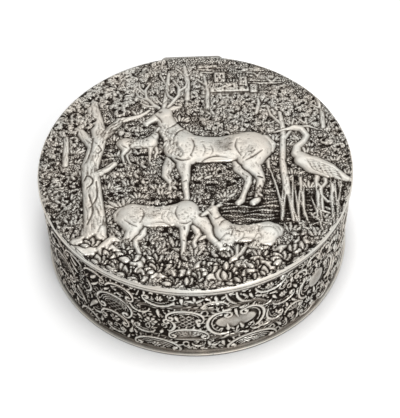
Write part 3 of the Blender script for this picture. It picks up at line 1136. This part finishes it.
def raise_foreground(sheet):
    """A log, a hare, a fox, stones, leaves and flowers, most of them at the front."""
    log = (((-22, -62.5, 3.0), (-6, -65.5, 2.8), (9, -66.5, 2.2)), ((-9, -64, 1.3), (-11, -59.5, 0.7)))
    log_end = ((-23, -60.6, 0.2), (-24.2, -62.6, 0.3), (-22.6, -64.6, 0.2))
    raise_figure(sheet, log, base=0.8, tall=0.6, hairs=0.5, long=4.0, lines=(log_end,))
    raise_figure(sheet, hare, 22, -61, 0.95, base=0.85, tall=0.6, lines=hare_lines, hairs=0.2)
    raise_figure(sheet, fox, -50, -50, 0.72, base=0.85, tall=0.6, lines=fox_lines, hairs=0.2)
    for x, y, r in ((-30, -60, 4.5), (-22, -64, 3.5), (4, -62, 4.0), (12, -66, 3.2), (40, -54, 3.6),
                    (-2, -68, 3.0), (47, -50, 2.6), (30, -62, 3.4)):
        crack = ((x - r * 0.6, y + r * 0.4, 0.15), (x + r * 0.3, y - r * 0.2, 0.25))
        raise_figure(sheet, (((x - r * 0.5, y, r), (x + r * 0.5, y + 0.4, r * 0.8)),), base=0.7, tall=0.5,
                     lines=[crack])
    draw = np.random.default_rng(42)
    places = scatter(-56, -72, 58, -46, 6.8, 41, lambda x, y: math.hypot(x, y) > 59)
    for x, y in sorted(places, key=lambda place: -place[1]):
        turn = 90 + draw.uniform(-60, 60)
        for k in range(draw.integers(3, 6)):
            long = draw.uniform(3.6, 6.0)
            half = long * draw.uniform(0.22, 0.32)
            lean = (k - 2) * 44 + draw.uniform(-10, 10)
            lay_leaf(sheet, x, y, long, half, turn + lean, 0.8 + draw.uniform(-0.1, 0.2), 0.8, 0.7, 0.75)
    for x, y, turn in ((-60, -34, 80), (-64, -22, 95), (-34, -50, 60), (8, -56, 100), (-6, -58, 70),
                       (50, -42, 110), (-58, -8, 75), (-28, -8, 80), (-24, -2, 100), (30, -22, 90),
                       (-10, -16, 85)):
        for k in range(7):
            lay_leaf(sheet, x + 0.4 * k - 1.2, y, 6.5 - abs(k - 3) * 0.9, 0.75, turn + (k - 3) * 17, 0.8, 0.6)
    for x, y in ((-38, -62), (20, -60), (-12, -63), (36, -48), (-66, -8), (-62, -44), (2, -50)):
        raise_rosette(sheet, x, y, 2.2, tall=1.5)


def make_picture(sheet):
    """The whole scene, from the sky at the back of the lid to the plants at its front."""
    lumps = uneven(sheet, 8, 3)
    sheet.level += 0.22 + 0.18 * lumps + 0.08 * uneven(sheet, 0.8, 4)
    raise_castle(sheet, 20.0, 46.0)
    raise_clouds(sheet)
    _, up = sheet.spots()
    near, far = (np.clip((edge - up + 8 * lumps) / 5, 0, 1) for edge in (-22, 34))
    lay_ground(sheet, near, far)
    raise_tufts(sheet, scatter(-72, -24, 72, 40, 9.5, 5, is_land), 4.2, 6)
    raise_tufts(sheet, scatter(-72, -72, 72, -24, 8.5, 9, is_land), 5.6, 10)

    fine_leaves, coarse_leaves = (matting(sheet, pitch, seed, 0.75, 0.34, 0.1)
                                  for pitch, seed in ((1.3, 130), (1.7, 140)))
    draw = np.random.default_rng(77)
    for x, y, size in bushes:
        raise_mound(sheet, x, y, size, coarse_leaves if y < 25 else fine_leaves, draw)
    for trunk in trunks:
        raise_trunk(sheet, *trunk)
    raise_ripples(sheet)
    raise_figure(sheet, oak, base=0.55, tall=0.62, hairs=0.42, long=5.0, lines=oak_lines)
    for x, y, size in oak_heads:
        raise_mound(sheet, x, y, size, coarse_leaves, draw, base=0.7, tall=0.45)
    raise_figure(sheet, birch, base=0.5, tall=0.62, hairs=0.6, long=1.2)
    for x, y, size in birch_heads:
        raise_mound(sheet, x, y, size, fine_leaves, draw, base=0.6, tall=0.4)

    raise_deer(sheet, -27, 13, 0.42, mirror=True, base=0.6)
    raise_deer(sheet, 10, 6, 1.12, base=0.75, stag=True)
    raise_deer(sheet, -17, -34, 0.82, mirror=True, base=0.8, neck=deer_neck_down)
    raise_deer(sheet, 22, -45, 0.66, base=0.8, lying=True)
    raise_heron(sheet, 56, -4)
    raise_foreground(sheet)

    # Ragged clefts through the plants at the front
    crumbs = 1 - np.clip(clods(sheet, 1.5, 150)[0] / 0.22, 0, 1)
    planted = near * (sheet.matted > 0.3)
    sheet.level -= 0.3 * crumbs * planted
    sheet.matted += 0.25 * planted * (sheet.matted < 0.5)


make_picture(picture)


def lowest_around(values, cells):
    """The lowest value within a square window."""
    for axis in (0, 1):
        width = [(cells, cells) if axis == at else (0, 0) for at in (0, 1)]
        windows = np.lib.stride_tricks.sliding_window_view(
            np.pad(values, width, mode="edge"), 2 * cells + 1, axis=axis)
        values = windows.min(-1)
    return values


def disc_points(rings, radius):
    """A middle point and rings of 6, 12, 18 and so on round it, with the triangles between them."""
    points, faces, first = [(0.0, 0.0)], [], 1
    for k in range(1, rings + 1):
        turn = np.arange(6 * k) / (6 * k) * 2 * math.pi
        points += list(zip(radius * k / rings * np.cos(turn), radius * k / rings * np.sin(turn)))
        before = first - 6 * (k - 1) if k > 1 else 0
        for side in range(6):
            for j in range(k):
                outer = first + side * k + j
                after = first + (side * k + j + 1) % (6 * k)
                inner = before + (side * (k - 1) + j) % (6 * (k - 1)) if k > 1 else 0
                faces.append((outer, after, inner))
                if j < k - 1:
                    next_inner = before + (side * (k - 1) + j + 1) % (6 * (k - 1))
                    faces.append((after, next_inner, inner))
        first += 6 * k
    return np.array(points), faces


plate_rings, plate_under_rings = 176, 44
plate_seat = 71.0                # the plate rests on the bezel outside this radius
plate_under = lid_low[2] / MM


def wear_picture(sheet):
    """Brightest on what stands high, blackest among the front plants, and smudged on smooth forms."""
    far_back = np.clip(sheet.spots()[1] / 60, -1, 1)
    worn = patina(sheet.level, sheet.step, 0.4, 0.5, 0.9) + 0.09 * np.clip(far_back, -0.1, 1)
    patches = (sheet.matted > 0.2) * np.clip(0.1 - uneven(sheet, 2.4, 19), 0, 1)
    oxide = np.clip(-far_back - 0.1, 0, 0.4) / 0.4 * patches
    worn -= 0.9 * oxide * (1.1 - np.clip(worn, 0, 1))
    worn = np.clip(worn + 0.28 * np.clip((sheet.level - 0.9) / 0.7, 0, 1), 0, 1)
    smudges = np.clip(uneven(sheet, 5, 21) + 0.5 * uneven(sheet, 1.3, 22), 0, 1)
    return soften(worn - 0.18 * smudges * (sheet.matted < 0.2), 1)


picture_level = soften(picture.level, 1)
picture_worn = wear_picture(picture)


def crowned(places):
    """How far the plate's crown lifts these places."""
    return plate_crown * (1 - (np.hypot(*places.T) / plate_radius) ** 4)


def make_plate():
    """The plate as one closed mesh, chased on its face and gilt on its back."""
    # The face, which rises to the rim's top at its edge
    face, face_triangles = disc_points(plate_rings, plate_radius)
    lip = np.clip((np.hypot(*face.T) - 71.4) / 1.9, 0, 1) ** 2
    raised = picture.look_up(picture_level, *face.T)
    height = plate_ground + crowned(face) + 0.85 * lip + (1 - 0.45 * lip) * raised

    # The back, which is flat on the bezel and inside it hollow under the highest forms
    back, back_triangles = disc_points(plate_under_rings, plate_radius)
    hollow = picture.look_up(soften(lowest_around(picture.level, 11), 9), *back.T)
    inside = np.clip((plate_seat - np.hypot(*back.T)) / 2.0, 0, 1)
    below = plate_under + inside * (crowned(back) + 0.8 * np.clip(hollow, 0, 3))

    points = np.concatenate([np.column_stack([face, height]), np.column_stack([back, below])])
    first = len(face)
    edge = list(range(first - 6 * plate_rings, first))
    back_edge = list(range(len(points) - 6 * plate_under_rings, len(points)))
    triangles = face_triangles + [tuple(first + i for i in corners[::-1]) for corners in back_triangles]
    triangles += stitch(back_edge, edge, turned_over=True)
    worn = np.concatenate([picture.look_up(picture_worn, *face.T), np.full(len(back), 0.6)])
    matted = np.concatenate([picture.look_up(picture.matted, *face.T), np.zeros(len(back))])
    piece = add_mesh("chased_plate", points, [], triangles, silver_sheet("lid_silver", 2300),
                     worn=worn, matted=matted * np.clip(worn / 0.35, 0.2, 1))
    gild(piece, slice(len(face_triangles), len(face_triangles) + len(back_triangles)))
    smooth(piece.data, 80)
    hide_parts("lid_plate")
    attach(piece, "lid")


make_plate()


# Rim, mouth wire, foot wire and bezel
# Drawn silver wires and a strip, bent round and soldered end to end. The rim frames the lid's
# plate, the bezel drops inside the mouth, and the foot wire keeps the base off the table.
wire_tree = bpy.data.node_groups.new("bent_wire", "GeometryNodeTree")


def wire_socket(name, kind, way="INPUT"):
    """An input or output of the tree that bends a wire."""
    return wire_tree.interface.new_socket(name=name, in_out=way, socket_type="NodeSocket" + kind)


wire_socket("Geometry", "Geometry")
wire_section = wire_socket("Section", "Object")
wire_radius = wire_socket("Radius", "Float")
wire_steps = wire_socket("Steps round", "Int")
wire_finish = wire_socket("Finish", "Material")
wire_socket("Geometry", "Geometry", "OUTPUT")
given = wire_tree.nodes.new("NodeGroupInput")
result = wire_tree.nodes.new("NodeGroupOutput")
circle = wire_tree.nodes.new("GeometryNodeCurvePrimitiveCircle")
section = wire_tree.nodes.new("GeometryNodeObjectInfo")
sweep = wire_tree.nodes.new("GeometryNodeCurveToMesh")
realize = wire_tree.nodes.new("GeometryNodeRealizeInstances")
finish = wire_tree.nodes.new("GeometryNodeSetMaterial")
for start, end in (
    (given.outputs["Radius"], circle.inputs["Radius"]),
    (given.outputs["Steps round"], circle.inputs["Resolution"]),
    (given.outputs["Section"], section.inputs["Object"]),
    (circle.outputs["Curve"], sweep.inputs["Curve"]),
    (section.outputs["Geometry"], sweep.inputs["Profile Curve"]),
    (sweep.outputs["Mesh"], realize.inputs["Geometry"]),
    (realize.outputs["Geometry"], finish.inputs["Geometry"]),
    (given.outputs["Finish"], finish.inputs["Material"]),
    (finish.outputs["Geometry"], result.inputs["Geometry"]),
):
    wire_tree.links.new(start, end)


def arc_section(centre, radii, start, end, steps=12):
    """Points of a section on an arc of an ellipse, between two angles in degrees."""
    return [(centre[0] + radii[0] * math.cos(math.radians(start + (end - start) * k / steps)),
             centre[1] + radii[1] * math.sin(math.radians(start + (end - start) * k / steps)))
            for k in range(steps + 1)]


def plain_mesh(holder, name):
    """The holder's result as a plain piece, without its modifiers."""
    shown = holder.evaluated_get(bpy.context.evaluated_depsgraph_get())
    mesh = bpy.data.meshes.new_from_object(shown)
    mesh.name = name
    bpy.data.objects.remove(holder)
    return add_object(name, mesh)


def bend_wire(name, points, steps, material):
    """A ring whose section is given as radius and height in mm, anticlockwise."""
    radius = sum(p[0] for p in points) / len(points)
    outline = bpy.data.curves.new(name + "_section", "CURVE")
    outline.dimensions = "3D"
    spline = outline.splines.new("POLY")
    spline.points.add(len(points) - 1)
    for point, (r, z) in zip(spline.points, reversed(points)):
        point.co = ((r - radius) * MM, -z * MM, 0, 1)
    spline.use_cyclic_u = True
    drawn = add_object(name + "_section", outline)
    holder = add_object(name + "_holder", bpy.data.meshes.new(name + "_holder"))
    bending = holder.modifiers.new("bending", "NODES")
    bending.node_group = wire_tree
    for socket, value in ((wire_section, drawn), (wire_radius, radius * MM), (wire_steps, steps),
                          (wire_finish, material)):
        bending[socket.identifier] = value
    piece = plain_mesh(holder, name)
    bpy.data.objects.remove(drawn)
    return piece


def cut_with(piece, cutter):
    """The piece without what the cutter takes away."""
    name = piece.name
    piece.name = name + "_uncut"
    cutting = piece.modifiers.new("cutting", "BOOLEAN")
    cutting.operation, cutting.solver, cutting.object = "DIFFERENCE", "EXACT", cutter
    cut = plain_mesh(piece, name)
    bpy.data.objects.remove(cutter)
    return cut


def block(name, low, high):
    """A plain box in mm, to cut with."""
    points = [(x, y, z) for z in (low[2], high[2]) for y in (low[1], high[1]) for x in (low[0], high[0])]
    quads = [(0, 2, 3, 1), (4, 5, 7, 6), (0, 1, 5, 4), (2, 6, 7, 3), (0, 4, 6, 2), (1, 3, 7, 5)]
    return add_mesh(name, points, quads, [])


def rod(name, rings, steps, material=None):
    """A solid rod along X from rings of place and radius in mm."""
    turn = np.arange(steps) / steps * 2 * math.pi
    points = [(x, r * math.cos(a), r * math.sin(a)) for x, r in rings for a in turn]
    points += [(rings[0][0], 0, 0), (rings[-1][0], 0, 0)]
    last = len(points) - 1
    top = (len(rings) - 1) * steps
    triangles = [((k + 1) % steps, k, last - 1) for k in range(steps)]
    triangles += [(top + k, top + (k + 1) % steps, last) for k in range(steps)]
    return add_mesh(name, points, grid_quads(steps, len(rings)), triangles, material)


hinge_y, hinge_z = 75.2, 49.8    # the hinge's axis
channel_radius = 1.3


def channel():
    """What clears the hinge's knuckles as they turn, as a solid to cut with."""
    cutter = rod("channel", [(-30, channel_radius), (30, channel_radius)], 48)
    cutter.data.transform(Matrix.Translation((0, hinge_y * MM, hinge_z * MM)))
    return cutter


def places_of(piece):
    """Where a piece's points are, in mm."""
    places = np.zeros(len(piece.data.vertices) * 3, np.float32)
    piece.data.vertices.foreach_get("co", places)
    return places.reshape(-1, 3) / MM


def give_wear(piece, rule):
    """Stores worn, from a rule of radius, height and place in mm, and shades the piece."""
    place = places_of(piece)
    store(piece.data, "worn", np.clip(rule(np.hypot(place[:, 0], place[:, 1]), place[:, 2], place), 0, 1))
    smooth(piece.data, 42)


wire_silver = silver_sheet("wire_silver", 1500, middle=(0.2, 0.185, 0.165))

rim_bottom, rim_top = 49.9, 52.0
joint_radius = 74.55             # outside it the joint under the rim is dark
rim = cut_with(bend_wire("lid_rim_wire", [
    (73.4, rim_bottom), (joint_radius, rim_bottom), (74.92, rim_bottom), (75.0, rim_bottom + 0.08),
    *arc_section((73.8, 50.5), (1.2, 1.5), 0, 90), (73.65, rim_top), (73.5, rim_top), (73.4, rim_top - 0.1),
], 720, wire_silver), channel())


def on_rim(r, place):
    """1 where the chasing runs out over the rim, most of all at the back, to 0 past it."""
    reach = 74.45 + 0.1 * place[:, 1] / 75 + 0.25 * picture.look_up(wobble, place[:, 0], place[:, 1])
    return np.clip((reach - r) / 0.25, 0, 1) * (place[:, 2] > 51)


def rim_wear(r, z, place):
    """Bright on top, duller down the side, and dark in the joint with the box."""
    joint = np.clip((rim_bottom + 0.3 - z) / 0.25, 0, 1) * np.clip((r - joint_radius) / 0.25, 0, 1)
    plain = 0.86 - 0.3 * np.clip((51.2 - z) / 0.5, 0, 1) - 0.45 * joint
    chased = picture.look_up(picture_worn, place[:, 0], place[:, 1])
    return plain + on_rim(r, place) * (chased - plain)


give_wear(rim, rim_wear)
rim_points = places_of(rim)
chased = on_rim(np.hypot(rim_points[:, 0], rim_points[:, 1]), rim_points)
forms = picture.look_up(picture_level, rim_points[:, 0], rim_points[:, 1])
rim_points[:, 2] -= chased * (0.45 - 0.5 * np.clip(forms, 0, 0.9))
rim.data.vertices.foreach_set("co", (rim_points * MM).astype(np.float32).ravel())
store(rim.data, "matted", 0.8 * chased)
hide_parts("lid_rim")
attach(rim, "lid")

mouth_bottom, mouth_top = 47.3, 49.7
mouth_joint = 73.95              # outside it the joint on top of the wire is dark
mouth = cut_with(bend_wire("mouth_wire_hollow", [
    (strip_inside, mouth_bottom), *arc_section((74.4, 48.5), (0.25, 1.2), 270, 90), (74.3, mouth_top),
    (mouth_joint, mouth_top), (strip_inside, mouth_top),
], 360, wire_silver), channel())


def mouth_wear(r, z, place):
    """Dark in the joint with the lid, and dull where the wire meets the side strip."""
    joint = np.clip((z - 49.3) / 0.3, 0, 1) * np.clip((r - mouth_joint) / 0.25, 0, 1)
    return 0.62 - 0.5 * joint - 0.35 * np.clip((47.8 - z) / 0.3, 0, 1)


give_wear(mouth, mouth_wear)
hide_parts("mouth_wire")
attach(mouth, "box")

foot = cut_with(bend_wire("foot_wire_round", [
    (73.65, 0), *arc_section((74.7, 0.65), (0.3, 0.65), -90, 90), (73.65, 1.3),
], 360, wire_silver), block("butt_joint", (5.5, -77, -1), (5.75, -74.2, 2)))
give_wear(foot, lambda r, z, place: 0.4 + 0.42 * np.clip((r - 74.0) / 0.5, 0, 1)
          - 0.9 * np.clip((0.8 - z) / 0.3, 0, 1))
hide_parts("foot_wire")
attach(foot, "box")

bezel = bend_wire("lid_bezel_strip", [
    (71.4, 45.45), (71.45, 45.4), (71.9, 45.4), (72.2, 45.7), (72.2, 50.2), (71.4, 50.2),
], 360, gilt_silver)
smooth(bezel.data, 30)
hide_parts("lid_bezel")
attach(bezel, "lid")


# Base
# A flat disc of silver sheet, gilt on the inside. The side strip stands on it and is soldered
# to it, and the foot wire goes round its edge.
base_low, base_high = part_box("base_plate")
base_rings = 24


def make_base():
    """The disc as one closed mesh, with its upper face gilt."""
    flat, faces = disc_points(base_rings, strip_border)
    count = len(flat)
    levels = [np.column_stack([flat, np.full(count, corner[2] / MM)]) for corner in (base_low, base_high)]
    ring = list(range(count - 6 * base_rings, count))
    quads = [(a, b, b + count, a + count) for a, b in zip(ring, ring[1:] + ring[:1])]
    triangles = [face[::-1] for face in faces] + [tuple(i + count for i in face) for face in faces]
    piece = add_mesh("base_disc", np.concatenate(levels), quads, triangles, wire_silver,
                     worn=np.full(2 * count, 0.62))
    gild(piece, slice(len(quads) + len(faces), None))
    smooth(piece.data, 30)
    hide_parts("base_plate")
    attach(piece, "box")


make_base()


# Hinge
# Two crescents of thick sheet soldered to the mouth wire and to the rim, with five short tubes
# between them on a brass pin. Filed by hand, and dark in the joints.
hinge_silver = silver_sheet("hinge_silver", 1800, middle=(0.22, 0.205, 0.185), bright=(0.6, 0.575, 0.53))
knuckle_pitch = 4.75

for k in range(5):
    side, part = ("box", "body") if k % 2 == 0 else ("lid", "lid")
    node = f"hinge_knuckle_{part}_{k // 2 + 1}"
    corner = [(0.56, 2.3), (0.9, 2.3), (0.97, 2.27), (1.0, 2.2)]      # radius and place along the pin
    section = [(r, -along) for r, along in corner] + corner[::-1]
    knuckle = bend_wire(node + "_tube", section, 40, hinge_silver)
    knuckle.data.transform(Matrix.Rotation(math.pi / 2, 4, "Y"))
    knuckle.data.transform(Matrix.Translation(((k - 2) * knuckle_pitch * MM, hinge_y * MM, hinge_z * MM)))
    give_wear(knuckle, lambda r, z, place: 0.35 + 0.45 * (
        np.hypot(place[:, 1] - hinge_y, place[:, 2] - hinge_z) > 0.95))
    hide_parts(node)
    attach(knuckle, side)

for node, side, edge in (("hinge_bearer_body", "box", 74.4), ("hinge_bearer_lid", "lid", 75.0)):
    holder = add_object(node + "_holder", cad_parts[node].data.copy())
    filing = holder.modifiers.new("filing", "BEVEL")
    filing.width, filing.segments, filing.limit_method = 0.12 * MM, 2, "ANGLE"
    filing.angle_limit = math.radians(40)
    bearer = plain_mesh(holder, node + "_filed")
    bearer.data.materials.clear()
    bearer.data.materials.append(hinge_silver)
    for vertex in bearer.data.vertices:
        radius = math.hypot(vertex.co.x, vertex.co.y)
        if radius < (edge + 0.34) * MM:
            vertex.co.xy *= (radius - 0.32 * MM) / radius
    give_wear(bearer, lambda r, z, place: 0.4 + 0.2 * np.clip((r - 75.2) / 0.4, 0, 1))
    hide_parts(node)
    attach(bearer, side)

pin_brass = silver_sheet("pin_brass", 1500, middle=(0.2, 0.15, 0.07), bright=(0.62, 0.5, 0.26))
pin = rod("hinge_pin_wire", [(-12.05, 0.33), (-12.0, 0.42), (-11.88, 0.5), (11.88, 0.5), (12.0, 0.42),
                             (12.05, 0.33)], 32, pin_brass)
pin.data.transform(Matrix.Translation((0, hinge_y * MM, hinge_z * MM)))
give_wear(pin, lambda r, z, place: 0.6 + 0 * r)
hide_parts("hinge_pin")
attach(pin, "box")
